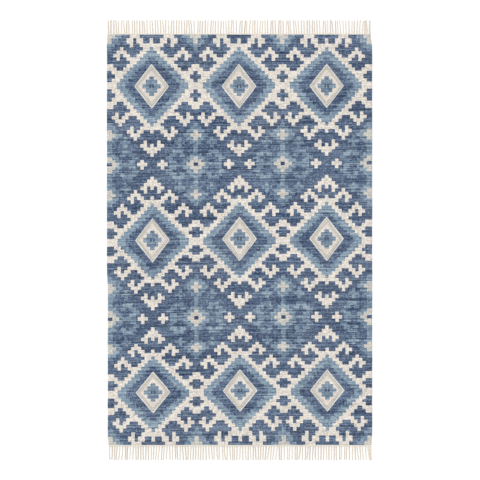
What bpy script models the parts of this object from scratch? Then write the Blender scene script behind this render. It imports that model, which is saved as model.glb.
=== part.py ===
"""A flat-woven rug with a fringe at each end, lying flat.

X runs across the rug, Y along it and Z up. The origin is on the floor under the rug's middle. The cloth is
a thin slab with the slightly uneven outline of handweaving. At each end the warps come out through a narrow
heading, a strip of its own, and lie on the floor as a row of loose strands that grow out of that strip.
"""

import math

import bmesh
import bpy
import numpy as np

# The cloth, in metres
CLOTH_WIDTH = 1.5266
CLOTH_LENGTH = 2.3604
THICKNESS = 0.004
FAR_END = 1.1818
NEAR_END = FAR_END - CLOTH_LENGTH

# How the selvedges stray from straight lines
NARROWING = 0.005
NARROWING_MIDDLE = -0.20
NARROWING_RUN = 0.14
FAR_CORNER_PULLS = (0.002, 0.009)
NEAR_CORNER_PULLS = (0.003, 0.005)
CORNER_RUN = 0.07
WOBBLE = 0.0012
WOBBLE_WAVES = (0.43, 0.171)
CLOTH_ROWS = 64

# The heading and its fringe
RUG_LENGTH = 2.535
HEADING_DEPTH = 0.008
PARTING = 0.0003
STRANDS = 101
STRAND_MARGIN = 0.0052
STRAND_JITTER = 0.002
STRAND_WIDTH = 0.0066
ROOT_WIDTH = 0.0084
TIP_SHARE = 0.8
CREST_SHARE = 0.7
STRAND_STEPS = 4
STRAND_LEAN = 0.0022
SHARED_LEAN = 0.006
SHARED_WAVES = (37.0, 23.0)
STRAND_BEND = 0.001
LENGTH_SPREAD = 0.006
FAR_SEED = 11
NEAR_SEED = 23

# Colours of the wool and of the undyed warp
WOOL_BLUE = (0.16, 0.24, 0.38)
WARP_CREAM = (0.82, 0.77, 0.68)


def smooth_step(t):
    """0 below 0, 1 above 1, with a smooth rise between."""
    t = np.clip(t, 0.0, 1.0)
    return t * t * (3.0 - 2.0 * t)


def wobble(y, phase):
    """How far a selvedge is drawn in by uneven weft tension: two sines, from 0 to WOBBLE."""
    long_wave, short_wave = WOBBLE_WAVES
    waves = np.sin(math.tau * y / long_wave + phase) + np.sin(math.tau * y / short_wave + 2.0 * phase)
    return WOBBLE * (0.5 + 0.25 * waves)


def corner_pull(y, side):
    """How far the headings draw a selvedge in at y, on side 0, the left, or side 1, the right."""
    far = FAR_CORNER_PULLS[side] * smooth_step((y - FAR_END + CORNER_RUN) / CORNER_RUN)
    near = NEAR_CORNER_PULLS[side] * smooth_step((NEAR_END + CORNER_RUN - y) / CORNER_RUN)
    return far + near


def left_edge(y):
    """The left selvedge's place at y. The weaving narrows a little in the near half."""
    drawn_in = NARROWING * smooth_step((NARROWING_MIDDLE + NARROWING_RUN / 2.0 - y) / NARROWING_RUN)
    return -CLOTH_WIDTH / 2.0 + drawn_in + corner_pull(y, 0) + wobble(y, 0.6)


def right_edge(y):
    """The right selvedge's place at y."""
    return CLOTH_WIDTH / 2.0 - corner_pull(y, 1) - wobble(y, 2.3)


def new_material(name, colour, roughness):
    """A plain fibre material."""
    material = bpy.data.materials.new(name)
    material.use_nodes = True
    shader = material.node_tree.nodes["Principled BSDF"]
    shader.inputs["Base Color"].default_value = (*colour, 1.0)
    shader.inputs["Roughness"].default_value = roughness
    shader.inputs["Metallic"].default_value = 0.0
    return material


def lofted(rings):
    """A closed mesh through rings of four corners. Face 4 * i + j joins side j of rings i and i + 1."""
    points = [tuple(corner) for ring in rings for corner in ring]
    faces = []
    for i in range(len(rings) - 1):
        for j in range(4):
            k = (j + 1) % 4
            faces.append((4 * i + j, 4 * i + k, 4 * i + 4 + k, 4 * i + 4 + j))
    last = 4 * (len(rings) - 1)
    faces.append((3, 2, 1, 0))
    faces.append((last, last + 1, last + 2, last + 3))
    mesh = bpy.data.meshes.new("loft")
    mesh.from_pydata(points, [], faces)
    shape = bmesh.new()
    shape.from_mesh(mesh)
    bpy.data.meshes.remove(mesh)
    shape.faces.ensure_lookup_table()
    return shape


def add_part(name, shape, material):
    """An object of its own from a bmesh, with its faces pointing out."""
    bmesh.ops.recalc_face_normals(shape, faces=shape.faces[:])
    mesh = bpy.data.meshes.new(name)
    shape.to_mesh(mesh)
    shape.free()
    mesh.materials.append(material)
    part = bpy.data.objects.new(name, mesh)
    bpy.context.collection.objects.link(part)
    return part


def make_cloth(material):
    """The woven field, a slab whose cross-section is carried along Y between the two selvedges."""
    rings = []
    for y in np.linspace(NEAR_END, FAR_END, CLOTH_ROWS + 1):
        left, right = left_edge(y), right_edge(y)
        rings.append([(left, y, 0.0), (right, y, 0.0), (right, y, THICKNESS), (left, y, THICKNESS)])
    return add_part("woven_field", lofted(rings), material)


def strand_roots(cloth_end, chance):
    """Where the strands leave the heading: evenly spaced between the selvedges, but for a small jitter."""
    first = left_edge(cloth_end) + STRAND_MARGIN
    last = right_edge(cloth_end) - STRAND_MARGIN
    roots = np.linspace(first, last, STRANDS)
    roots[1:-1] += STRAND_JITTER * chance.uniform(-1.0, 1.0, STRANDS - 2)
    return roots


def strand_shapes(seed, chance):
    """Each strand's lean, bend and shortfall. Neighbours share part of their lean, as combed fringe does."""
    number = np.arange(STRANDS)
    long_wave, short_wave = SHARED_WAVES
    shared = np.sin(math.tau * number / long_wave + seed) * np.sin(math.tau * number / short_wave)
    lean = SHARED_LEAN * shared + STRAND_LEAN * chance.uniform(-1.0, 1.0, STRANDS)
    bend = STRAND_BEND * chance.uniform(-1.0, 1.0, STRANDS)
    shortfall = LENGTH_SPREAD * chance.random(STRANDS) ** 2
    return lean, bend, shortfall - shortfall.min()


def make_fringe(name, cloth_end, outward, seed, material):
    """One heading with its strands, which are extruded from its outer face and lie level on the floor."""
    inner = cloth_end + outward * PARTING
    outer = cloth_end + outward * HEADING_DEPTH
    tips = outward * RUG_LENGTH / 2.0
    chance = np.random.default_rng(seed)
    roots = strand_roots(cloth_end, chance)
    columns = np.sort(np.concatenate([roots - ROOT_WIDTH / 2.0, roots + ROOT_WIDTH / 2.0]))
    columns = np.concatenate([[left_edge(cloth_end)], columns, [right_edge(cloth_end)]])
    rings = [[(x, inner, 0.0), (x, outer, 0.0), (x, outer, THICKNESS), (x, inner, THICKNESS)] for x in columns]
    shape = lofted(rings)
    grown = [shape.faces[4 * (2 * k + 1) + 1] for k in range(STRANDS)]
    lean, bend, shortfall = strand_shapes(seed, chance)
    for step in range(1, STRAND_STEPS + 1):
        t = step / STRAND_STEPS
        grown = bmesh.ops.extrude_discrete_faces(shape, faces=grown)["faces"]
        grown.sort(key=lambda face: face.calc_center_median().x)
        half = STRAND_WIDTH / 2.0 * (1.0 + (TIP_SHARE - 1.0) * t)
        for k, face in enumerate(grown):
            centre = face.calc_center_median()
            x = roots[k] + lean[k] * t**1.5 + bend[k] * math.sin(math.pi * t)
            y = outer + (tips - outward * shortfall[k] - outer) * t
            for corner in face.verts:
                across = math.copysign(half, corner.co.x - centre.x)
                upper = corner.co.z > centre.z
                height = THICKNESS * (1.0 + (TIP_SHARE - 1.0) * t) if upper else 0.0
                corner.co = (x + across * (CREST_SHARE if upper else 1.0), y, height)
    return add_part(name, shape, material)


def main():
    """The whole rug."""
    for thing in list(bpy.data.objects):
        bpy.data.objects.remove(thing, do_unlink=True)
    wool = new_material("dyed wool", WOOL_BLUE, 0.9)
    warp = new_material("undyed warp", WARP_CREAM, 0.85)
    make_cloth(wool)
    make_fringe("fringe_far", FAR_END, 1.0, FAR_SEED, warp)
    make_fringe("fringe_near", NEAR_END, -1.0, NEAR_SEED, warp)


main()
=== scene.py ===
"""Dresses a flat-woven rug on its frame: the patterned cloth, its twined headings and its plied fringe.

X runs across the rug, Y along it, towards the end that is up in the picture, and Z up. The cloth is one
closed surface whose mesh lines are the loom's own: lengthwise they follow the warps at the edges of the
pattern's half cells, and crosswise the wefts at the edges of its rows. A chart of one quarter of the repeat
says which dye each half cell has, and the materials add the yarn.
"""

import math

import bpy
import numpy as np
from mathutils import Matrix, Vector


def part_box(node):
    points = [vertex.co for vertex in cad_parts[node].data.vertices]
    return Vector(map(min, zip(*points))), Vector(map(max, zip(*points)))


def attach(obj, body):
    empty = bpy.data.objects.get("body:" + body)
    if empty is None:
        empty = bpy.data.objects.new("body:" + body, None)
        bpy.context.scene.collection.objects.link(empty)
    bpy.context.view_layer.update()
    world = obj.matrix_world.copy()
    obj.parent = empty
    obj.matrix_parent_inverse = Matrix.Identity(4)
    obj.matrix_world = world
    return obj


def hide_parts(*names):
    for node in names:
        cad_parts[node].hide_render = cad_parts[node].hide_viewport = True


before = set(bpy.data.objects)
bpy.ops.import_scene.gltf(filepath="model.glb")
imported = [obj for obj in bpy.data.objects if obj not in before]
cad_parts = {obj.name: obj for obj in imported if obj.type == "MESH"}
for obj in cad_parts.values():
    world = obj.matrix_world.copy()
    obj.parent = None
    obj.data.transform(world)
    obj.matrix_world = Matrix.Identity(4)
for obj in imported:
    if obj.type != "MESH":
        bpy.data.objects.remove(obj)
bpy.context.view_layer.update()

# The frame's sizes, in metres: the cloth's ends, the tips of the fringe, the cloth's width before its
# selvedges are drawn in, its thickness, and its flat size
CLOTH_LOW, CLOTH_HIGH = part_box("woven_field")
NEAR_END, FAR_END = CLOTH_LOW[1], CLOTH_HIGH[1]
NEAR_TIPS, FAR_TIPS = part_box("fringe_near")[0][1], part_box("fringe_far")[1][1]
CLOTH_LENGTH = FAR_END - NEAR_END
CLOTH_WIDTH = 1.5266
THICKNESS = CLOTH_HIGH[2] - CLOTH_LOW[2]

# The outline, by the same rules as the frame's slab
NARROWING, NARROWING_MIDDLE, NARROWING_RUN = 0.005, -0.20, 0.14
FAR_CORNER_PULLS = (0.002, 0.009)
NEAR_CORNER_PULLS = (0.003, 0.005)
CORNER_RUN = 0.07
WOBBLE = 0.0012
WOBBLE_WAVES = (0.43, 0.171)

# The dyes, by their letters in the chart: dark ground, light blue, light blue that comes and goes, cream,
# grey and navy. At the selvedges navy gives way to the dark ground.
DYES = "DLFCGN"

# One quarter of the repeat, row by row. The runs of half cells go from a lozenge's middle line outwards to
# the line halfway to the next lozenge, FOLD half cells away. The last of them is wider, by the factor
# LAST_CELL. The rug is FOLDS such widths across. A row whose name ends in s is the weaver's variant of the
# row named without it.
FOLD = 25
FOLDS = 6
LAST_CELL = 1.24
CHART = {
    "N": "D16 L5 C4",
    "M": "D14 L5 C5 D1",
    "L": "D12 L5 C5 D3",
    "K": "D10 L5 C9 D1",
    "J": "D8 L5 C4 D4 C4",
    "I": "D6 L5 C4 D8 C2",
    "H": "D4 L5 C4 D12",
    "G": "D2 L5 C8 D4 C2 D4",
    "F": "L5 C4 D4 C4 D2 C4 D2",
    "E": "L3 C4 D8 C6 D4",
    "D": "L1 C4 D12 C2 D5 F1",
    "C": "C7 D4 C2 D9 F3",
    "B": "C1 D4 C4 D2 C4 D5 F4 G1",
    "A": "D7 C6 D5 F4 G3",
    "A2": "D9 C2 D4 F2 D3 F4 G1",
    "P1": "D3 C2 D8 F6 D3 F3",
    "P2": "C1 D2 C4 D8 F2 D7 F1",
    "P3": "C5 D19 F1",
    "P4": "C3 D9 F6 D6 F1",
    "P5": "C1 D9 F4 D2 F3 D3 F3",
    "P6": "D8 F4 D8 F4 G1",
    "P7": "D5 C2 D3 F4 D4 F4 G3",
    "P8": "D3 C6 D1 F10 G4 N1",
    "P5s": "C1 D11 F6 D6 F1",
    "P4s": "C3 D21 F1",
    "P3s": "C5 D10 F2 D7 F1",
    "P2s": "C1 D2 C4 D6 F6 D3 F3",
    "R": "D3 C2 D4 C2 D4 F2 D3 F4 G1",
    "Q": "D10 F4 D2 F3 D3 F3",
    "Ms": "D14 L5 C4 D2",
    "Ls": "D12 L5 C4 D4",
    "Ks": "D10 L5 C8 D2",
    "Js": "D8 L5 C5 D3 C4",
    "Is": "D6 L5 C5 D7 C2",
    "Hs": "D4 L5 C5 D11",
    "Gs": "D2 L5 C9 D4 C2 D3",
    "Fs": "L5 C4 D5 C4 D2 C4 D1",
    "Es": "L3 C4 D9 C6 D3",
    "Ds": "L1 C4 D13 C2 D4 F1",
}

# The rows down the rug, in sections with each one's depth in metres. A row is six picks deep unless a
# number after it says otherwise, because a weaver doesn't beat all rows alike.
ROW_PICKS = 6
SECTIONS = (
    (0.2739, "A B:9 C D E F G H I J K L:8 M"),
    (0.0411, "N"),
    (0.4198, "M:7 L:8 K:7 J I:7 H Gs Fs Es Ds C B A A2 P1 P2 P3:5 P4:5 P5 P6:5 P7:5"),
    (0.0201, "P8"),
    (0.4080, "P7 P6 Q P5s:5 P4s P3s P2s R A:5 B C D E F G H I J Ks Ls Ms"),
    (0.0435, "N"),
    (0.4072, "Ms Ls Ks:5 J I H:7 G F E D C B A A2:7 P1 P2 P3 P4:7 P5 P6 P7"),
    (0.0201, "P8"),
    (0.4017, "P7 P6 P5 P4 P3 P2 P1:5 A2:5 A B C D E F G H I J Ks:5 Ls Ms"),
    (0.0446, "N"),
    (0.2800, "Ms Ls:5 Ks Js Is Hs Gs Fs Es Ds:7 C:8 B:10 A"),
)

# Where the pattern's folds run: its side lines, the middle lines of the lozenges and the lines between,
# from left to right, at the near end, halfway and at the far end
FOLD_STATIONS = (-1.18, 0.0, 1.18)
FOLD_LINES = (
    (-0.7410, -0.7432, -0.7480),
    (-0.4960, -0.5008, -0.5072),
    (-0.2460, -0.2500, -0.2537),
    (0.0045, -0.0001, -0.0033),
    (0.2562, 0.2499, 0.2464),
    (0.5068, 0.5018, 0.5018),
    (0.7488, 0.7449, 0.7437),
)

# The edge outside the side lines: half cells up to the selvedge, how far its round stands out, and how far
# the round's two lines lie from top and bottom, as a share of the thickness
EDGE_CELLS = 2
SELVEDGE_ROUND = 0.0015
SELVEDGE_SHARE = 0.28

# How far the wefts lie off straight lines, because they were beaten unevenly: the place along the rug, and
# how far they are moved up it at the left selvedge, in the middle and at the right selvedge
WEFT_DRIFT = (
    (-1.1786, 0.0, 0.0, 0.0),
    (-1.0931, -0.0112, 0.0002, 0.0012),
    (-0.8745, -0.0141, 0.0031, 0.0044),
    (-0.7363, -0.0147, 0.0043, 0.0042),
    (-0.5522, -0.0162, -0.0003, 0.0014),
    (-0.3680, -0.0148, -0.0012, 0.0014),
    (-0.1839, -0.0181, -0.0025, -0.0026),
    (0.0, -0.0123, 0.0, 0.0006),
    (0.1499, -0.0121, 0.0010, 0.0006),
    (0.3341, -0.0054, 0.0034, 0.0094),
    (0.5183, -0.0022, 0.0012, 0.0070),
    (0.7024, 0.0025, 0.0038, 0.0100),
    (0.8866, 0.0010, 0.0008, 0.0050),
    (1.0938, -0.0024, -0.0026, -0.0060),
    (1.1818, 0.0, 0.0, 0.0),
)

# The lozenges: middles and half lengths from far to near, and half the width. Places along the rug are also
# counted in half lengths, up to LOZENGE_REACH before and after each middle. From one middle to the next the
# count goes up by LOZENGE_PERIOD.
LOZENGE_MIDDLES = np.array([0.8842, 0.0072, -0.8688])
LOZENGE_HALF_LENGTHS = np.array([0.1322, 0.1275, 0.1218])
LOZENGE_HALF_WIDTH = 0.1003
LOZENGE_PERIOD = 10.0
LOZENGE_REACH = np.array([[-1.4], [0.0], [1.4]])
LOZENGE_TURN_PLACES = np.sort((LOZENGE_MIDDLES + LOZENGE_REACH * LOZENGE_HALF_LENGTHS).reshape(-1))
LOZENGE_TURNS = np.sort((LOZENGE_PERIOD * np.arange(3) + LOZENGE_REACH).reshape(-1))

# The lozenges' stepped cross is three boxes, one over another, and a fourth box with a gap in its middle is
# their two dark hearts. Half sizes across and along, in the lozenge's half widths and half lengths.
CROSS_BOXES = ((0.535, 0.098), (0.328, 0.285), (0.134, 0.44))
HEART_BOX = (0.135, 0.078)
HEART_GAP = 0.03

# The yarn: warps in a half cell, a half cell's width, a pick's depth and the mesh lines for each row of the
# pattern. How far the threads wander and the cloth ripples, and how near its ends this fades out.
WARPS_PER_CELL = 3
CELL_WIDTH = CLOTH_WIDTH / (FOLDS * FOLD + 2 * EDGE_CELLS)
PICK = 0.0025
LINES_PER_ROW = 2
WANDER = 0.0006
RIPPLE = 0.0012
FADE_RUN = 0.05

# The headings and the fringe, drawn by the same rules as the frame's
HEADING_DEPTH = 0.008
PARTING = 0.0003
STRANDS = 101
STRAND_MARGIN = 0.0052
STRAND_JITTER = 0.002
STRAND_WIDTH = 0.0066
TIP_SHARE = 0.8
STRAND_LEAN = 0.0022
SHARED_LEAN = 0.006
SHARED_WAVES = (37.0, 23.0)
STRAND_BEND = 0.001
LENGTH_SPREAD = 0.006
FAR_SEED = 11
NEAR_SEED = 23

# What the frame's plain strands leave out: a few stray further, no closer than the least pitch, no two are
# equally thick, and some at the corners, by their numbers, have come loose
STRAY_LEAN = 0.0055
LEAST_PITCH = 0.0075
LEAST_WIDTH, WIDTH_SPREAD = 0.99, 0.34
SPREAD_CORNER = 1.6
FAR_LOOSE = (1, 2, -1, -2)
NEAR_LOOSE = (-1, -2)

# A strand's own form: its plies and the length of one turn, where it starts inside the heading, how deep its
# grooves are, how it swells at the root and where the plies loosen, and how it closes at the tip. Places
# and runs are shares of its length, and the rest are shares of its thickness.
PLIES = 3
STRAND_LAY = 0.024
STRAND_RINGS = 40
STRAND_SIDES = 12
STRAND_START = -0.04
GROOVE, LOOSE_GROOVE = 0.30, 0.22
ROOT_SWELL, ROOT_RUN = 0.22, 0.12
LOOSE_FROM, LOOSE_RUN, LOOSE_SWELL = 0.84, 0.12, 0.12
CLOSE_AT, CLOSE_RUN, CLOSED_SHARE = 1.02, 0.06, 0.35

# The twined cords of the headings: the length of one turn, the depth of their grooves, how they swell and
# thin, how small they close and how far inside the selvedges they end
CORD_LAY = 0.0125
CORD_RING_STEP = 0.0013
CORD_SIDES = 10
CORD_GROOVE = 0.34
CORD_SWELL, CORD_SWELL_WAVE = 0.05, 0.041
CORD_CLOSED = 0.04
CORD_INSET = 0.0004

# The studio: how bright a white surface facing up is, how much of that rough yarn keeps after its relief and
# the shade painted into its hollows and grooves, how bright the room is overhead and along the horizon, the
# soft light's place and width in degrees, and the floor
STUDIO_LEVEL = 1.16
RELIEF_LOSS = 0.85
ZENITH = 0.6
HORIZON = 1.0
KEY_ELEVATION, KEY_AZIMUTH, KEY_WIDTH = 52.0, 130.0, 30.0
FLOOR_REACH = 60.0
FLOOR_DROP = 0.0004

# The camera: its place over the rug, its height and how much of the floor its square picture shows
CAMERA_PLACE = (0.00302, 0.0003)
CAMERA_HEIGHT = 12.0
PICTURE_WIDTH = 2.7624

# The yarns as they show in the picture, in even steps from the darkest to the lightest
DARK_WOOL = ((34, 48, 74), (58, 74, 102), (82, 100, 127), (106, 124, 149), (133, 150, 170))
LIGHT_WOOL = ((88, 109, 133), (110, 131, 153), (130, 152, 170), (149, 169, 183), (172, 186, 196))
CREAM_WOOL = ((190, 184, 177), (208, 201, 193), (224, 216, 207), (236, 229, 219), (248, 241, 230))
GREY_WOOL = ((165, 168, 169), (203, 199, 191), (229, 222, 211))
NAVY_WOOL = ((32, 45, 74), (54, 69, 100), (82, 99, 128))
HEART_WOOL = (58, 68, 92)
DUST = (186, 183, 178)

# The lozenges' rim, two pale grey lines on cream: places from the outline, at 0, towards the middle, at 1,
# and the wool that shows there
RIM_PLACES = (0.0, 0.065, 0.105, 0.135, 0.165, 0.19, 0.22, 0.245, 0.29)
RIM_WOOL = (
    (226, 224, 216),
    (220, 217, 209),
    (174, 170, 163),
    (180, 176, 169),
    (220, 215, 207),
    (214, 209, 201),
    (185, 179, 171),
    (194, 188, 179),
    (224, 216, 207),
)

# The cottons in the picture: on the plies, in the grooves between them as painted shade, and where tips have
# been handled
PLIED_COTTON = ((229, 219, 205), (212, 200, 184), (208, 204, 195))
TWINED_COTTON = ((250, 245, 236), (234, 225, 213), (226, 221, 213))

# How much the tone of blue and of pale wool changes with long streaks, flecks, single beads, bands and ribs
BLUE_CHANGES = (1.0, 0.65, 0.6, 0.2, 0.25)
PALE_CHANGES = (0.4, 0.85, 0.95, 0.1, 0.15)

# The kinds of change along the weft: their length in metres, how far the noise moves on from one pass to the
# next, and the level at which it is read
WEFT_CHANGES = (
    ("Streak", 0.25, 0.9, 0.3),
    ("Fleck", 0.013, 1.7, 5.2),
    ("Blotch", 0.055, 0.27, 7.1),
    ("Band", 1.1, 0.15, 3.9),
)

# How tall the relief of the weave and of the cotton's fibre is, and the size of the loose fibre on each
WEAVE_RELIEF, COTTON_RELIEF = 0.0007, 0.0003
WOOL_FIBRE, COTTON_FIBRE = 0.0012, 0.0007


def smooth_step(t):
    """0 below 0, 1 above 1, with a smooth rise between."""
    t = np.clip(t, 0.0, 1.0)
    return t * t * (3.0 - 2.0 * t)


def wobble(y, phase):
    """How far a selvedge is drawn in by uneven weft tension: two sines, from 0 to WOBBLE."""
    long_wave, short_wave = WOBBLE_WAVES
    waves = np.sin(math.tau * y / long_wave + phase) + np.sin(math.tau * y / short_wave + 2.0 * phase)
    return WOBBLE * (0.5 + 0.25 * waves)


def corner_pull(y, side):
    """How far the headings draw a selvedge in at y, on side 0, the left, or side 1, the right."""
    far = FAR_CORNER_PULLS[side] * smooth_step((y - FAR_END + CORNER_RUN) / CORNER_RUN)
    near = NEAR_CORNER_PULLS[side] * smooth_step((NEAR_END + CORNER_RUN - y) / CORNER_RUN)
    return far + near


def left_edge(y):
    """The left selvedge's place at y. The weaving narrows a little in the near half."""
    drawn_in = NARROWING * smooth_step((NARROWING_MIDDLE + NARROWING_RUN / 2.0 - y) / NARROWING_RUN)
    return -CLOTH_WIDTH / 2.0 + drawn_in + corner_pull(y, 0) + wobble(y, 0.6)


def right_edge(y):
    """The right selvedge's place at y."""
    return CLOTH_WIDTH / 2.0 - corner_pull(y, 1) - wobble(y, 2.3)


def charted_rows():
    """The dye of every row's half cells, rows by FOLD, and the places of the rows' edges, far to near.

    A row's run letters are repeated by their counts. Its depth is its picks' share of its section's depth,
    and the sections' depths are shares of the cloth's length.
    """
    dyes = {
        name: np.repeat([DYES.index(run[0]) for run in runs], [int(run[1:]) for run in runs])
        for name, runs in ((name, runs.split()) for name, runs in CHART.items())
    }
    names, depths = [], []
    for depth, rows in SECTIONS:
        marks = [row.partition(":") for row in rows.split()]
        picks = np.array([float(mark[2] or ROW_PICKS) for mark in marks])
        names += [mark[0] for mark in marks]
        depths.append(depth * picks / picks.sum())
    down = np.concatenate([[0.0], np.cumsum(np.concatenate(depths))])
    return np.array([dyes[name] for name in names]), FAR_END - CLOTH_LENGTH * down / down[-1]


def fold_place(columns):
    """How far a column is from its lozenge's middle line, 0 to FOLD, by folding the count to and fro."""
    return np.abs(np.clip(columns, 0.0, FOLDS * FOLD) % (2 * FOLD) - FOLD)


def column_places(columns, along):
    """Where the warp lines lie across the rug, as rows by columns, and each one's lozenge's middle line.

    Between a lozenge's line and the next fold the cells share the width equally, but for the last one, which
    is wider. Outside the side folds the lines go evenly to the selvedges.
    """
    lines = np.stack([np.interp(along, FOLD_STATIONS, places) for places in FOLD_LINES], axis=1)
    span = np.clip((columns // FOLD).astype(int), 0, FOLDS - 1)
    middle = lines[:, span + 1 - span % 2]
    outer = lines[:, span + span % 2]
    folded = fold_place(columns)
    share = (folded + (LAST_CELL - 1.0) * np.clip(folded - FOLD + 1.0, 0.0, 1.0)) / (FOLD - 1.0 + LAST_CELL)
    places = middle + (outer - middle) * share
    past_left = np.clip(-columns, 0.0, EDGE_CELLS) / EDGE_CELLS
    past_right = np.clip(columns - FOLDS * FOLD, 0.0, EDGE_CELLS) / EDGE_CELLS
    places += past_left * (left_edge(along)[:, None] + SELVEDGE_ROUND - lines[:, :1])
    places += past_right * (right_edge(along)[:, None] - SELVEDGE_ROUND - lines[:, -1:])
    return places, middle


def end_fade(along, run):
    """1 over the cloth, falling smoothly to 0 within run of either end."""
    return smooth_step((FAR_END - along) / run) * smooth_step((along - NEAR_END) / run)


def drifted(across, along):
    """Where a weft really lies: its place on an even loom, moved by WEFT_DRIFT.

    The table's three moves are taken at that place along the rug, and then in proportion between the middle
    and the nearer selvedge.
    """
    stations, at_left, in_middle, at_right = np.array(WEFT_DRIFT).T
    to_left = np.clip(-2.0 * across / CLOTH_WIDTH, 0.0, 1.0)
    to_right = np.clip(2.0 * across / CLOTH_WIDTH, 0.0, 1.0)
    moved = to_left * np.interp(along, stations, at_left) + to_right * np.interp(along, stations, at_right)
    return along + moved + (1.0 - to_left - to_right) * np.interp(along, stations, in_middle)


def wander(u, v, phase):
    """A slow drift of hand-beaten threads, two crossed pairs of sines, from -1 to 1."""
    first = np.sin(math.tau * u / 0.37 + phase) * np.sin(math.tau * v / 0.29 + 2.1 * phase)
    second = np.sin(math.tau * (u + v) / 0.19 + 1.7 * phase) * np.sin(math.tau * (u - v) / 0.23 + phase)
    return 0.6 * first + 0.4 * second


def add_piece(name, points, faces, material, point_values, face_values=None):
    """A closed mesh in its place, faces turned outwards by the sign of the volume that they enclose."""
    mesh = bpy.data.meshes.new(name)
    mesh.from_pydata(points.reshape(-1, 3).tolist(), [], faces)
    for label, values in point_values.items():
        kept = mesh.attributes.new(label, "FLOAT_VECTOR", "POINT")
        kept.data.foreach_set("vector", values.reshape(-1).astype(np.float32))
    for label, values in (face_values or {}).items():
        kept = mesh.attributes.new(label, "FLOAT", "FACE")
        kept.data.foreach_set("value", values.reshape(-1).astype(np.float32))
    mesh.calc_loop_triangles()
    corners = np.empty(3 * len(mesh.loop_triangles), dtype=np.int32)
    mesh.loop_triangles.foreach_get("vertices", corners)
    a, b, c = points.reshape(-1, 3)[corners.reshape(-1, 3).T]
    if np.einsum("ij,ij->i", a, np.cross(b, c)).sum() < 0.0:
        mesh.flip_normals()
    mesh.polygons.foreach_set("use_smooth", np.ones(len(mesh.polygons), dtype=bool))
    mesh.set_sharp_from_angle(angle=math.radians(50.0))
    mesh.materials.append(material)
    piece = bpy.data.objects.new(name, mesh)
    bpy.context.collection.objects.link(piece)
    return piece


def tube_faces(tubes, rings, sides):
    """The faces of closed tubes whose points are counted side by side, ring by ring and tube by tube."""
    side = np.arange(sides)
    after = (side + 1) % sides
    ring = np.arange(rings - 1)[:, None] * sides
    wall = np.stack([ring + side, ring + after, ring + sides + after, ring + sides + side], axis=-1)
    caps = np.stack([side[::-1], (rings - 1) * sides + side])
    start = np.arange(tubes)[:, None] * rings * sides
    walls = (start[:, :, None] + wall.reshape(1, -1, 4)).reshape(-1, 4)
    ends = (start[:, :, None] + caps.reshape(1, 2, sides)).reshape(-1, sides)
    return walls.tolist() + ends.tolist()


def cloth_points(across, along):
    """The points of every cross-section: the top from left to right, two round the right selvedge, the
    bottom from right to left, and two round the left selvedge.

    Warps and wefts wander a little off their lines. The bottom lies on a soft ripple, from 0 to RIPPLE high,
    and the top is one thickness above it. The selvedge's points stand out by its round, and the two of one
    side mix top and bottom by SELVEDGE_SHARE.
    """
    still = np.ones(across.shape[1])
    still[[0, -1]] = 0.0
    fade = end_fade(along, FADE_RUN)[:, None]
    wandered = across + WANDER * fade * wander(across, along[:, None], 0.9) * still
    low = RIPPLE * fade * (0.5 + 0.5 * wander(across, along[:, None] / 2.0, 2.3))
    place = drifted(across, along[:, None] + WANDER * fade * wander(across, along[:, None], 4.0))
    top = np.stack([wandered, place, low + THICKNESS], axis=-1)
    bottom = np.stack([wandered, place, low], axis=-1)
    out = np.array([SELVEDGE_ROUND, 0.0, 0.0])
    up = (1.0 - SELVEDGE_SHARE) * top + SELVEDGE_SHARE * bottom
    down = SELVEDGE_SHARE * top + (1.0 - SELVEDGE_SHARE) * bottom
    right = np.stack([up[:, -1] + out, down[:, -1] + out], axis=1)
    left = np.stack([down[:, 0] - out, up[:, 0] - out], axis=1)
    return np.concatenate([top, right, bottom[:, ::-1], left], axis=1)


def cloth_faces(rings, count):
    """The walls between the cross-sections, then each end's cap: faces between top and bottom from one
    column line to the next, and one at each selvedge. count is how many column lines there are."""
    sides = 2 * count + 4
    walls = np.array(tube_faces(1, rings, sides)[: (rings - 1) * sides])
    over = np.arange(count)
    under = 2 * count + 1 - over
    strip = np.stack([over[:-1], over[1:], under[1:], under[:-1]], axis=-1)
    corner = np.array([[count - 1, count, count + 1, count + 2], [sides - 1, 0, 2 * count + 1, sides - 2]])
    cap = np.concatenate([strip, corner])
    return np.concatenate([walls, cap[:, ::-1], cap + (rings - 1) * sides])


def cloth(material):
    """The whole cloth as one closed surface, a cross-section carried along every row line.

    Its points know their place on the loom, column and place along, and their distance from the lozenge's
    middle, in half widths across and counted half lengths along. Its faces know their dye.
    """
    dyes, edges = charted_rows()
    row_lines = np.arange(LINES_PER_ROW * len(dyes) + 1) / LINES_PER_ROW
    along = np.interp(row_lines, np.arange(len(edges)), edges)
    columns = np.arange(-EDGE_CELLS, FOLDS * FOLD + EDGE_CELLS + 1).astype(float)
    count = len(columns)
    across, middle = column_places(columns, along)
    from_middle = np.abs(across - middle) / LOZENGE_HALF_WIDTH
    turns = np.interp(along, LOZENGE_TURN_PLACES, LOZENGE_TURNS)[:, None]
    loom = np.stack(np.broadcast_arrays(columns, along[:, None], 0.0), axis=-1)
    lozenge = np.stack(np.broadcast_arrays(from_middle, turns, 0.0), axis=-1)
    loop = np.concatenate([np.arange(count), [count - 1] * 2, np.arange(count)[::-1], [0, 0]])

    cell = fold_place((columns[:-1] + columns[1:]) / 2.0).astype(int).clip(0, FOLD - 1)
    last = [FOLD - 1]
    wall_cell = np.concatenate([cell, 3 * last, cell[::-1], 3 * last])
    cap_cell = np.concatenate([cell, 2 * last])
    wall_dye = np.repeat(dyes, LINES_PER_ROW, axis=0)[:, wall_cell]
    cell_dye = np.concatenate([wall_dye.reshape(-1), dyes[0, cap_cell], dyes[-1, cap_cell]])

    points = cloth_points(across, along)
    faces = cloth_faces(len(along), count)
    values = {"loom": loom[:, loop], "lozenge": lozenge[:, loop]}
    return add_piece("kilim_cloth", points, faces.tolist(), material, values, {"dye": cell_dye})


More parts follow.
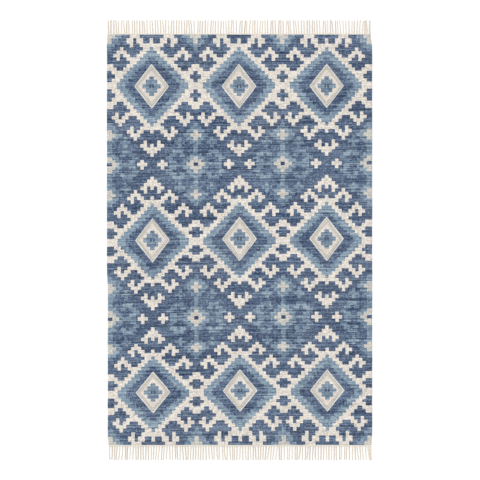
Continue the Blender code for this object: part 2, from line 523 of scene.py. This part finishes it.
def strand_lines(cloth_end, outward, tips, seed):
    """Each strand's middle line in the plane, strands by rings, its place along itself and a random number.

    The roots are evenly spaced but for a jitter. A strand leans more and more towards its tip, bends once
    between its ends, and neighbours share part of their lean, as combed fringe does. A few stray further,
    until they lie against a neighbour: the tips are pushed apart to the least pitch from both sides alike.
    """
    chance = np.random.default_rng(seed)
    first, last = left_edge(cloth_end) + STRAND_MARGIN, right_edge(cloth_end) - STRAND_MARGIN
    roots = np.linspace(first, last, STRANDS)
    roots[1:-1] += STRAND_JITTER * chance.uniform(-1.0, 1.0, STRANDS - 2)
    number = np.arange(STRANDS)
    long_wave, short_wave = SHARED_WAVES
    shared = np.sin(math.tau * number / long_wave + seed) * np.sin(math.tau * number / short_wave)
    lean = SHARED_LEAN * shared + STRAND_LEAN * chance.uniform(-1.0, 1.0, STRANDS)
    bend = STRAND_BEND * chance.uniform(-1.0, 1.0, STRANDS)
    shortfall = LENGTH_SPREAD * chance.random(STRANDS) ** 2
    shortfall -= shortfall.min()
    draw, stray = chance.random(STRANDS), chance.uniform(-1.0, 1.0, STRANDS)
    least = LEAST_PITCH * number
    ends = roots + lean + STRAY_LEAN * stray * np.abs(stray) - least
    ends = (np.maximum.accumulate(ends) + np.minimum.accumulate(ends[::-1])[::-1]) / 2.0 + least
    lean = ends - roots
    outer = cloth_end + outward * HEADING_DEPTH
    t = np.linspace(STRAND_START, 1.0, STRAND_RINGS)
    out = np.maximum(t, 0.0)
    x = roots[:, None] + lean[:, None] * out**1.5 + bend[:, None] * np.sin(math.pi * out)
    y = outer + (tips - outward * shortfall[:, None] - outer) * t
    return x, y, t, draw


def fringe(name, cloth_end, outward, tips, seed, loose_strands, material):
    """One end's strands, each of three plies laid up together and lying on the floor.

    The cross-section is an ellipse, flattened by its own weight, with one lobe for each ply: its radius falls
    off between the lobes by the absolute cosine of one and a half times the angle. The angle turns with the
    length, so that the points follow the plies. The radius is fuller at the root, where the warps are
    gathered, swells where the plies loosen near the tip, and closes at the very end. No two strands are
    equally thick, and the loose ones lie wider.
    """
    x, y, t, draw = strand_lines(cloth_end, outward, tips, seed)
    length = abs(tips - cloth_end)
    angle = math.tau * np.arange(STRAND_SIDES) / STRAND_SIDES
    loosened = smooth_step((t - LOOSE_FROM) / LOOSE_RUN)
    gathered = 1.0 - smooth_step(t / ROOT_RUN)
    ridge = np.abs(np.cos(PLIES / 2.0 * angle))
    lobes = 1.0 - (GROOVE + LOOSE_GROOVE * loosened)[:, None] * (1.0 - ridge)
    taper = 1.0 + (TIP_SHARE - 1.0) * np.maximum(t, 0.0)
    girth = taper * (1.0 + ROOT_SWELL * gathered) * (1.0 + LOOSE_SWELL * loosened)
    closing = np.sqrt(np.clip((CLOSE_AT - t) / CLOSE_RUN, 0.0, 1.0))
    closing = CLOSED_SHARE + (1.0 - CLOSED_SHARE) * closing
    own_width = LEAST_WIDTH + WIDTH_SPREAD * (7.0 * draw % 1.0)
    own_width[list(loose_strands)] = SPREAD_CORNER
    half_width = STRAND_WIDTH / 2.0 * own_width[:, None] * girth * closing
    half_height = THICKNESS / 2.0 * np.minimum(girth, 1.0) * closing
    turned = angle + (math.tau * length * t / STRAND_LAY)[:, None] + (math.tau * draw)[:, None, None]
    offset_x = half_width[:, :, None] * lobes * np.cos(turned)
    offset_z = half_height[:, None] * lobes * np.sin(turned)
    height = half_height[:, None] + offset_z
    points = np.stack(np.broadcast_arrays(x[:, :, None] + offset_x, y[:, :, None], height), axis=-1)
    run = (length * t)[:, None] + (3.7 * draw)[:, None, None]
    around = STRAND_WIDTH / 2.0 * np.cos(angle), STRAND_WIDTH / 2.0 * np.sin(angle)
    yarn = np.stack(np.broadcast_arrays(*around, run), axis=-1)
    # The strand attribute's first value, ridge, is where the material paints shade into the grooves between
    # plies
    strand = np.stack(np.broadcast_arrays(ridge, draw[:, None, None], t[:, None]), axis=-1)
    faces = tube_faces(STRANDS, STRAND_RINGS, STRAND_SIDES)
    return add_piece(name, points, faces, material, {"yarn": yarn, "strand": strand})


def twining(name, cloth_end, outward, seed, material):
    """One heading: two cords side by side across the warps, each of two plies and twisted opposite ways.

    A cord is a round section with two lobes, from the absolute cosine of the angle, turned along the cord.
    It swells and thins a little with a slow sine and closes at its ends.
    """
    radius = (HEADING_DEPTH - PARTING) / 4.0
    first, last = left_edge(cloth_end) + CORD_INSET, right_edge(cloth_end) - CORD_INSET
    rings = int((last - first) / CORD_RING_STEP)
    x = np.linspace(first, last, rings)
    angle = math.tau * np.arange(CORD_SIDES) / CORD_SIDES
    ridge = np.abs(np.cos(angle))
    lobes = 1.0 - CORD_GROOVE * (1.0 - ridge)
    way = np.array([1.0, -1.0])[:, None]
    turned = angle + (way * math.tau * x / CORD_LAY + seed * way)[:, :, None]
    closing = np.sqrt(np.clip(np.minimum(x - first, last - x) / radius, CORD_CLOSED, 1.0))
    uneven = 1.0 - CORD_SWELL * (1.0 + np.sin(math.tau * x / CORD_SWELL_WAVE + seed * way))
    girth = (radius * closing * uneven)[:, :, None] * lobes
    across = cloth_end + outward * (PARTING + radius * np.array([1.0, 3.0]))[:, None, None]
    depth = across + girth * np.cos(turned)
    height = THICKNESS / 2.0 + girth * np.sin(turned)
    points = np.stack(np.broadcast_arrays(x[:, None], depth, height), axis=-1)
    around = radius * np.cos(angle), radius * np.sin(angle)
    yarn = np.stack(np.broadcast_arrays(*around, x[:, None] + way[:, :, None]), axis=-1)
    tone = 0.5 + 0.3 * way[:, :, None]
    # The strand attribute's first value, ridge, is where the material paints shade into the grooves between
    # plies
    strand = np.stack(np.broadcast_arrays(ridge, tone, np.zeros((rings, 1))), axis=-1)
    faces = tube_faces(2, rings, CORD_SIDES)
    return add_piece(name, points, faces, material, {"yarn": yarn, "strand": strand})


def dye(red, green, blue):
    """The reflectance that shows as this picture colour under the studio's light, as linear colour."""
    shown = np.array([red, green, blue]) / 255.0
    linear = np.where(shown <= 0.04045, shown / 12.92, ((shown + 0.055) / 1.055) ** 2.4)
    return (*(linear / STUDIO_LEVEL / RELIEF_LOSS), 1.0)


def feed(tree, socket, source):
    """Links source to socket where it is a socket, and otherwise sets it there."""
    if isinstance(source, bpy.types.NodeSocket):
        tree.links.new(source, socket)
    else:
        socket.default_value = source


def calculated(tree, operation, *sources):
    """A Math node's result."""
    node = tree.nodes.new("ShaderNodeMath")
    node.operation = operation
    for socket, source in zip(node.inputs, sources):
        feed(tree, socket, source)
    return node.outputs[0]


def whole_steps(tree, source, step):
    """source held at the middle of each step."""
    return calculated(tree, "ADD", calculated(tree, "SNAP", source, step), step / 2.0)


def ranged(tree, source, low, high, to_low=0.0, to_high=1.0):
    """source taken from low and high to to_low and to_high, and held there outside."""
    node = tree.nodes.new("ShaderNodeMapRange")
    for name, value in (("Value", source), ("From Min", low), ("From Max", high)):
        feed(tree, node.inputs[name], value)
    for name, value in (("To Min", to_low), ("To Max", to_high)):
        feed(tree, node.inputs[name], value)
    return node.outputs["Result"]


def blended(tree, factor, first, second, blend="MIX"):
    """Two colours mixed."""
    node = tree.nodes.new("ShaderNodeMix")
    node.data_type = "RGBA"
    node.blend_type = blend
    feed(tree, node.inputs[0], factor)
    feed(tree, node.inputs[6], first)
    feed(tree, node.inputs[7], second)
    return node.outputs[2]


def tinted(tree, colour, tint):
    """A colour made darker or lighter by a number."""
    return blended(tree, 1.0, colour, joined(tree, tint, tint, tint), "MULTIPLY")


def ramped(tree, factor, shown, places=None):
    """A ramp through picture colours, in even steps from 0 to 1 where no places are given."""
    node = tree.nodes.new("ShaderNodeValToRGB")
    places = np.linspace(0.0, 1.0, len(shown)) if places is None else places
    while len(node.color_ramp.elements) < len(shown):
        node.color_ramp.elements.new(1.0)
    for element, place, colour in zip(node.color_ramp.elements, places, shown):
        element.position = place
        element.color = dye(*colour)
    feed(tree, node.inputs[0], factor)
    return node.outputs[0]


def parted(tree, vector):
    """A vector's three values."""
    node = tree.nodes.new("ShaderNodeSeparateXYZ")
    feed(tree, node.inputs[0], vector)
    return node.outputs


def joined(tree, x, y, z=0.0):
    """A vector of three values."""
    node = tree.nodes.new("ShaderNodeCombineXYZ")
    for socket, source in zip(node.inputs, (x, y, z)):
        feed(tree, socket, source)
    return node.outputs[0]


def cloudy(tree, vector, scale=1.0, detail=2.0, roughness=0.5):
    """Noise, spread so that it fills most of 0 to 1."""
    node = tree.nodes.new("ShaderNodeTexNoise")
    feed(tree, node.inputs["Vector"], vector)
    feed(tree, node.inputs["Scale"], scale)
    node.inputs["Detail"].default_value = detail
    node.inputs["Roughness"].default_value = roughness
    return ranged(tree, node.outputs[0], 0.25, 0.75)


def stored(tree, name):
    """A mesh attribute's node."""
    node = tree.nodes.new("ShaderNodeAttribute")
    node.attribute_name = name
    return node


def placed(tree, group, **sources):
    """A node group placed in a tree, with its inputs fed by name. Returns its outputs."""
    node = tree.nodes.new("ShaderNodeGroup")
    node.node_tree = group
    for name, source in sources.items():
        feed(tree, node.inputs[name.replace("_", " ")], source)
    return node.outputs


def new_group(name, inputs, outputs):
    """An empty node group and its two ends. Inputs are (name, kind, value)."""
    group = bpy.data.node_groups.new(name, "ShaderNodeTree")
    for label, kind, value in inputs:
        socket = group.interface.new_socket(label, in_out="INPUT", socket_type=kind)
        if value is not None:
            socket.default_value = value
    for label, kind in outputs:
        group.interface.new_socket(label, in_out="OUTPUT", socket_type=kind)
    return group, group.nodes.new("NodeGroupInput").outputs, group.nodes.new("NodeGroupOutput").inputs


def weft_beads_group():
    """Weft-faced plain weave: each pick goes over every other warp as a rounded bead, and the next pick's
    beads sit between. Its inputs count warps and picks. Height is a dome over each bead, and Speck a random
    number of its own."""
    inputs = [("Warp", "NodeSocketFloat", 0.0), ("Pick", "NodeSocketFloat", 0.0)]
    outputs = [("Height", "NodeSocketFloat"), ("Speck", "NodeSocketFloat")]
    tree, given, result = new_group("weft_beads", inputs, outputs)
    pick = calculated(tree, "FLOOR", given["Pick"])
    shifted = calculated(tree, "ADD", given["Warp"], calculated(tree, "FLOORED_MODULO", pick, 2.0))
    bead = calculated(tree, "DIVIDE", shifted, 2.0)

    def dome(count, power):
        """1 less a power of the distance from the middle between two whole counts."""
        off = calculated(tree, "MULTIPLY_ADD", calculated(tree, "FRACT", count), 2.0, -1.0)
        fall = calculated(tree, "POWER", calculated(tree, "ABSOLUTE", off), power)
        return calculated(tree, "SUBTRACT", 1.0, fall)

    feed(tree, result["Height"], calculated(tree, "MULTIPLY", dome(bead, 3.0), dome(given["Pick"], 2.0)))
    chance = tree.nodes.new("ShaderNodeTexWhiteNoise")
    chance.noise_dimensions = "2D"
    feed(tree, chance.inputs["Vector"], joined(tree, calculated(tree, "FLOOR", bead), pick))
    feed(tree, result["Speck"], chance.outputs["Value"])
    return tree


def weft_streaks_group():
    """How hand-dyed weft changes: Streak in long dashes along a pass of weft, Fleck in short ones, Blotch in
    uneven patches and Band in slow bands across the whole width. Two picks are one pass there and back, from
    one length of yarn, and have one tone. Its inputs are metres across and the count of picks."""
    inputs = [("Across", "NodeSocketFloat", 0.0), ("Pick", "NodeSocketFloat", 0.0)]
    outputs = [(kind[0], "NodeSocketFloat") for kind in WEFT_CHANGES]
    tree, given, result = new_group("weft_streaks", inputs, outputs)
    there_and_back = calculated(tree, "FLOOR", calculated(tree, "DIVIDE", given["Pick"], 2.0))
    for name, length, step, level in WEFT_CHANGES:
        across = calculated(tree, "DIVIDE", given["Across"], length)
        along = calculated(tree, "MULTIPLY", there_and_back, step)
        feed(tree, result[name], cloudy(tree, joined(tree, across, along, level)))
    return tree


def fibre_fuzz_group():
    """Loose fibre on any yarn: Grain is fine noise for colour, and Height the same for a bump."""
    inputs = [("Vector", "NodeSocketVector", None), ("Size", "NodeSocketFloat", 0.001)]
    outputs = [("Grain", "NodeSocketFloat"), ("Height", "NodeSocketFloat")]
    tree, given, result = new_group("fibre_fuzz", inputs, outputs)
    scale = calculated(tree, "DIVIDE", 1.0, given["Size"])
    grain = cloudy(tree, given["Vector"], scale, detail=3.0, roughness=0.65)
    feed(tree, result["Grain"], grain)
    feed(tree, result["Height"], calculated(tree, "MULTIPLY", grain, grain))
    return tree


def tread_wear_group():
    """Where feet and hands have gone: Wear is high in spots inside broad soft patches."""
    inputs = [("Vector", "NodeSocketVector", None)]
    outputs = [("Wear", "NodeSocketFloat")]
    tree, given, result = new_group("tread_wear", inputs, outputs)
    broad = cloudy(tree, given["Vector"], 2.3, detail=1.0)
    patchy = cloudy(tree, given["Vector"], 19.0, detail=3.0)
    feed(tree, result["Wear"], calculated(tree, "MULTIPLY", broad, patchy))
    return tree


def lozenge_group():
    """A lozenge's masks from the distances to its middle in half widths and half lengths. Edge is 0 on its
    outline and 1 in its middle. Cross is the stepped cross, and Heart the dark hearts."""
    inputs = [("Across", "NodeSocketFloat", 1.0), ("Along", "NodeSocketFloat", 1.0)]
    outputs = [("Edge", "NodeSocketFloat"), ("Cross", "NodeSocketFloat"), ("Heart", "NodeSocketFloat")]
    tree, given, result = new_group("lozenge", inputs, outputs)
    reach = calculated(tree, "ADD", given["Across"], given["Along"])
    feed(tree, result["Edge"], calculated(tree, "SUBTRACT", 1.0, reach))

    def box(half_width, half_length):
        inside_across = calculated(tree, "LESS_THAN", given["Across"], half_width)
        inside_along = calculated(tree, "LESS_THAN", given["Along"], half_length)
        return calculated(tree, "MULTIPLY", inside_across, inside_along)

    arms, shoulders, nubs = (box(*half_sizes) for half_sizes in CROSS_BOXES)
    cross = calculated(tree, "MAXIMUM", arms, calculated(tree, "MAXIMUM", shoulders, nubs))
    feed(tree, result["Cross"], cross)
    split = calculated(tree, "GREATER_THAN", given["Across"], HEART_GAP)
    feed(tree, result["Heart"], calculated(tree, "MULTIPLY", split, box(*HEART_BOX)))
    return tree


def new_material(name, roughness):
    """A matte fibre material with a faint sheen. Returns it, its tree and its shader."""
    material = bpy.data.materials.new(name)
    material.use_nodes = True
    tree = material.node_tree
    shader = tree.nodes["Principled BSDF"]
    shader.inputs["Roughness"].default_value = roughness
    shader.inputs["Specular IOR Level"].default_value = 0.12
    shader.inputs["Sheen Weight"].default_value = 0.05
    return material, tree, shader


def bumped(tree, shader, height, distance):
    """Gives a shader its relief: height, 0 to 1, stands distance metres tall."""
    node = tree.nodes.new("ShaderNodeBump")
    node.inputs["Strength"].default_value = 1.0
    node.inputs["Distance"].default_value = distance
    feed(tree, node.inputs["Height"], height)
    tree.links.new(node.outputs[0], shader.inputs["Normal"])


def shaded(tree, kinds, shares):
    """A place on a ramp: halfway, plus each kind of change by its share."""
    place = 0.5
    for kind, share in zip(kinds, shares):
        place = calculated(tree, "ADD", place, calculated(tree, "MULTIPLY_ADD", kind, share, -share / 2.0))
    return place


def charted_colour(tree, column, change, blue, pale):
    """The colour by the chart, and the dark and the light wool in it.

    Blue and pale are places on the ramps of blue and of pale wool. Light blue lies over dark ground as far as
    the patches of the weft let it, and less far where the chart says that it comes and goes.
    """
    dark = ramped(tree, blue, DARK_WOOL)
    light = ramped(tree, blue, LIGHT_WOOL)
    patchy = calculated(tree, "MULTIPLY", change["Blotch"], 0.6)
    patchy = calculated(tree, "MULTIPLY_ADD", change["Streak"], 0.5, patchy)
    patchy = calculated(tree, "MULTIPLY_ADD", change["Fleck"], 0.4, patchy)
    solid = blended(tree, ranged(tree, patchy, 0.3, 0.85, 0.5, 1.0), dark, light)
    faint = blended(tree, ranged(tree, patchy, 0.35, 0.95, 0.4, 1.0), dark, light)
    cream = ramped(tree, pale, CREAM_WOOL)
    grey = ramped(tree, pale, GREY_WOOL)
    half_way = FOLDS * FOLD / 2.0
    from_centre = calculated(tree, "ABSOLUTE", calculated(tree, "SUBTRACT", column, half_way))
    at_selvedge = calculated(tree, "GREATER_THAN", from_centre, half_way - 1.0)
    navy = blended(tree, at_selvedge, ramped(tree, blue, NAVY_WOOL), dark)
    chosen = stored(tree, "dye").outputs["Fac"]
    colour = dark
    for number, next_colour in enumerate((solid, faint, cream, grey, navy)):
        colour = blended(tree, calculated(tree, "GREATER_THAN", chosen, number + 0.5), colour, next_colour)
    return colour, dark, light


def lozenge_colour(tree, lozenge, column, pale, colour, dark, light):
    """A colour with the lozenges over it: the rim's lines on cream, the stepped cross and its hearts.

    The distances go by whole warps and picks, so that slanting lines are stepped as on a loom. The rim's
    lines waver a little and change in tone, by noise that is drawn out along them.
    """
    from_middle, turns, _ = parted(tree, stored(tree, "lozenge").outputs["Vector"])
    from_line = calculated(tree, "PINGPONG", turns, LOZENGE_PERIOD / 2.0)
    one_warp = CELL_WIDTH / WARPS_PER_CELL / LOZENGE_HALF_WIDTH
    one_pick = PICK / LOZENGE_HALF_LENGTHS[1]
    across = whole_steps(tree, from_middle, one_warp)
    along = whole_steps(tree, from_line, one_pick)
    masks = placed(tree, lozenge, Across=across, Along=along)

    side = calculated(tree, "FLOOR", calculated(tree, "DIVIDE", column, float(FOLD)))
    slowly = calculated(tree, "MULTIPLY", turns, 0.8)
    waver = cloudy(tree, joined(tree, slowly, calculated(tree, "MULTIPLY", side, 3.3)))
    inward = calculated(tree, "ADD", masks["Edge"], ranged(tree, waver, 0.0, 1.0, -0.05, 0.05))
    closely = calculated(tree, "MULTIPLY", masks["Edge"], 9.0)
    beside = joined(tree, closely, calculated(tree, "MULTIPLY", turns, 1.6), side)
    line = ranged(tree, cloudy(tree, beside, detail=0.0), 0.0, 1.0, 0.91, 1.07)
    lift = calculated(tree, "MULTIPLY", ranged(tree, pale, 0.0, 1.0, 0.84, 1.16), line)
    rim = tinted(tree, ramped(tree, inward, RIM_WOOL, RIM_PLACES), lift)

    colour = blended(tree, calculated(tree, "GREATER_THAN", masks["Edge"], 0.0), colour, rim)
    arm = ranged(tree, from_middle, 0.30, 0.36, 0.65, 1.0)
    colour = blended(tree, masks["Cross"], colour, blended(tree, arm, dark, light))
    return blended(tree, calculated(tree, "MULTIPLY", masks["Heart"], 0.85), colour, dye(*HEART_WOOL))


def wool_material(beads, streaks, fuzz, wear, lozenge):
    """The weft-faced cloth: dyes by the chart, changed along each weft, with painted shade in the hollows
    between its beads of yarn, and in relief by them.
    """
    material, tree, shader = new_material("weft_faced_wool", 0.9)
    column, along, _ = parted(tree, stored(tree, "loom").outputs["Vector"])
    across = calculated(tree, "MULTIPLY", column, CELL_WIDTH)
    warp = calculated(tree, "MULTIPLY", column, float(WARPS_PER_CELL))
    pick = calculated(tree, "DIVIDE", along, PICK)
    yarn = placed(tree, beads, Warp=warp, Pick=pick)
    change = placed(tree, streaks, Across=across, Pick=pick)
    loose = placed(tree, fuzz, Vector=joined(tree, across, along), Size=WOOL_FIBRE)
    worn = placed(tree, wear, Vector=joined(tree, across, along))
    by_warp = calculated(tree, "MULTIPLY", column, 1.1)
    rib = cloudy(tree, joined(tree, by_warp, calculated(tree, "DIVIDE", along, 0.06)))

    kinds = (change["Streak"], change["Fleck"], yarn["Speck"], change["Band"], rib)
    blue = shaded(tree, kinds, BLUE_CHANGES)
    pale = shaded(tree, kinds, PALE_CHANGES)
    colour, dark, light = charted_colour(tree, column, change, blue, pale)
    colour = lozenge_colour(tree, lozenge, column, pale, colour, dark, light)

    # Painted shade: the colour darkens into the hollows between the weft's beads
    hollow_shade = ranged(tree, yarn["Height"], 0.0, 0.5, 0.80, 1.0)
    fibre = ranged(tree, loose["Grain"], 0.0, 1.0, 0.95, 1.05)
    colour = tinted(tree, colour, calculated(tree, "MULTIPLY", hollow_shade, fibre))
    dusty = calculated(tree, "MULTIPLY", worn["Wear"], 0.10)
    colour = blended(tree, dusty, colour, dye(*DUST))
    tree.links.new(colour, shader.inputs["Base Color"])
    tree.links.new(ranged(tree, yarn["Height"], 0.0, 1.0, 0.98, 0.84), shader.inputs["Roughness"])
    rounded = calculated(tree, "MULTIPLY", yarn["Height"], 0.82)
    bumped(tree, shader, calculated(tree, "MULTIPLY_ADD", loose["Height"], 0.18, rounded), WEAVE_RELIEF)
    return material


def cotton_material(name, fuzz, wear, shown):
    """Undyed plied cotton: painted shade in the grooves between plies, each strand a little its own tone, and
    greyer towards loose tips."""
    on_plies, groove_shade, at_tips = (dye(*colour) for colour in shown)
    material, tree, shader = new_material(name, 0.88)
    ridge, draw, run = parted(tree, stored(tree, "strand").outputs["Vector"])
    yarn = stored(tree, "yarn").outputs["Vector"]
    loose = placed(tree, fuzz, Vector=yarn, Size=COTTON_FIBRE)
    worn = placed(tree, wear, Vector=yarn)
    # Painted shade: the colour darkens from the plies into the grooves between them, by the ridge value
    colour = blended(tree, ranged(tree, ridge, 0.0, 0.7), groove_shade, on_plies)
    own = ranged(tree, draw, 0.0, 1.0, 0.88, 1.1)
    fibre = ranged(tree, loose["Grain"], 0.0, 1.0, 0.93, 1.05)
    colour = tinted(tree, colour, calculated(tree, "MULTIPLY", own, fibre))
    handled = calculated(tree, "MULTIPLY", ranged(tree, run, 0.3, 1.0, 0.1, 0.45), worn["Wear"])
    colour = blended(tree, handled, colour, at_tips)
    tree.links.new(colour, shader.inputs["Base Color"])
    tree.links.new(ranged(tree, loose["Grain"], 0.0, 1.0, 0.82, 0.95), shader.inputs["Roughness"])
    bumped(tree, shader, loose["Height"], COTTON_RELIEF)
    return material


def studio_floor():
    """A plain white floor just under the rug, far wider than any view of it."""
    mesh = bpy.data.meshes.new("studio_floor")
    ways = [(-1.0, -1.0), (1.0, -1.0), (1.0, 1.0), (-1.0, 1.0)]
    corners = [(FLOOR_REACH * x, FLOOR_REACH * y, -FLOOR_DROP) for x, y in ways]
    mesh.from_pydata(corners, [], [(0, 1, 2, 3)])
    material = bpy.data.materials.new("white_floor")
    material.use_nodes = True
    shader = material.node_tree.nodes["Principled BSDF"]
    shader.inputs["Base Color"].default_value = (0.94, 0.94, 0.94, 1.0)
    shader.inputs["Roughness"].default_value = 1.0
    shader.inputs["Specular IOR Level"].default_value = 0.0
    mesh.materials.append(material)
    floor = bpy.data.objects.new("studio_floor", mesh)
    bpy.context.collection.objects.link(floor)
    return floor


def studio_light():
    """An even white room, brightest along the horizon, and one wide soft light from the upper left.

    The room's strength falls from HORIZON to ZENITH with the cube of 1 less the height. So a surface facing
    up gets a tenth of the difference, and the soft light makes up what STUDIO_LEVEL still needs.
    """
    world = bpy.data.worlds.new("white_room")
    world.use_nodes = True
    tree = world.node_tree
    place = tree.nodes.new("ShaderNodeTexCoord")
    _, _, height = parted(tree, place.outputs["Generated"])
    from_zenith = calculated(tree, "SUBTRACT", 1.0, ranged(tree, height, 0.0, 1.0))
    low = calculated(tree, "POWER", from_zenith, 3.0)
    strength = calculated(tree, "MULTIPLY_ADD", low, HORIZON - ZENITH, ZENITH)
    feed(tree, tree.nodes["Background"].inputs["Strength"], strength)
    tree.nodes["Background"].inputs["Color"].default_value = (1.0, 1.0, 1.0, 1.0)
    bpy.context.scene.world = world

    room = ZENITH + (HORIZON - ZENITH) * 0.1
    elevation, azimuth = math.radians(KEY_ELEVATION), math.radians(KEY_AZIMUTH)
    lamp = bpy.data.lights.new("soft_key", "SUN")
    lamp.angle = math.radians(KEY_WIDTH)
    lamp.energy = (STUDIO_LEVEL - room) * math.pi / math.sin(elevation)
    key = bpy.data.objects.new("soft_key", lamp)
    key.rotation_euler = (math.pi / 2.0 - elevation, 0.0, azimuth + math.pi / 2.0)
    bpy.context.collection.objects.link(key)


def overhead_camera():
    """A long lens straight above, so that the rug fills the picture as in a catalogue view."""
    lens = bpy.data.cameras.new("overhead")
    lens.sensor_width = 36.0
    lens.lens = lens.sensor_width * CAMERA_HEIGHT / PICTURE_WIDTH
    lens.clip_end = 200.0
    camera = bpy.data.objects.new("overhead", lens)
    camera.location = (*CAMERA_PLACE, CAMERA_HEIGHT + THICKNESS)
    bpy.context.collection.objects.link(camera)
    bpy.context.scene.camera = camera


def main():
    """Builds and dresses every piece."""
    beads, streaks = weft_beads_group(), weft_streaks_group()
    fuzz, wear, lozenge = fibre_fuzz_group(), tread_wear_group(), lozenge_group()
    wool = wool_material(beads, streaks, fuzz, wear, lozenge)
    plied = cotton_material("plied_cotton", fuzz, wear, PLIED_COTTON)
    twined = cotton_material("twined_cotton", fuzz, wear, TWINED_COTTON)

    field = cloth(wool)
    far_strands = fringe("far_fringe", FAR_END, 1.0, FAR_TIPS, FAR_SEED, FAR_LOOSE, plied)
    near_strands = fringe("near_fringe", NEAR_END, -1.0, NEAR_TIPS, NEAR_SEED, NEAR_LOOSE, plied)
    far_heading = twining("far_twining", FAR_END, 1.0, FAR_SEED, twined)
    near_heading = twining("near_twining", NEAR_END, -1.0, NEAR_SEED, twined)

    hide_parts("woven_field")
    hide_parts("fringe_far")
    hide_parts("fringe_near")
    for piece in (field, far_strands, near_strands, far_heading, near_heading):
        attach(piece, "root")

    floor = studio_floor()
    studio_light()
    overhead_camera()
    bpy.context.scene.view_settings.view_transform = "Standard"


main()
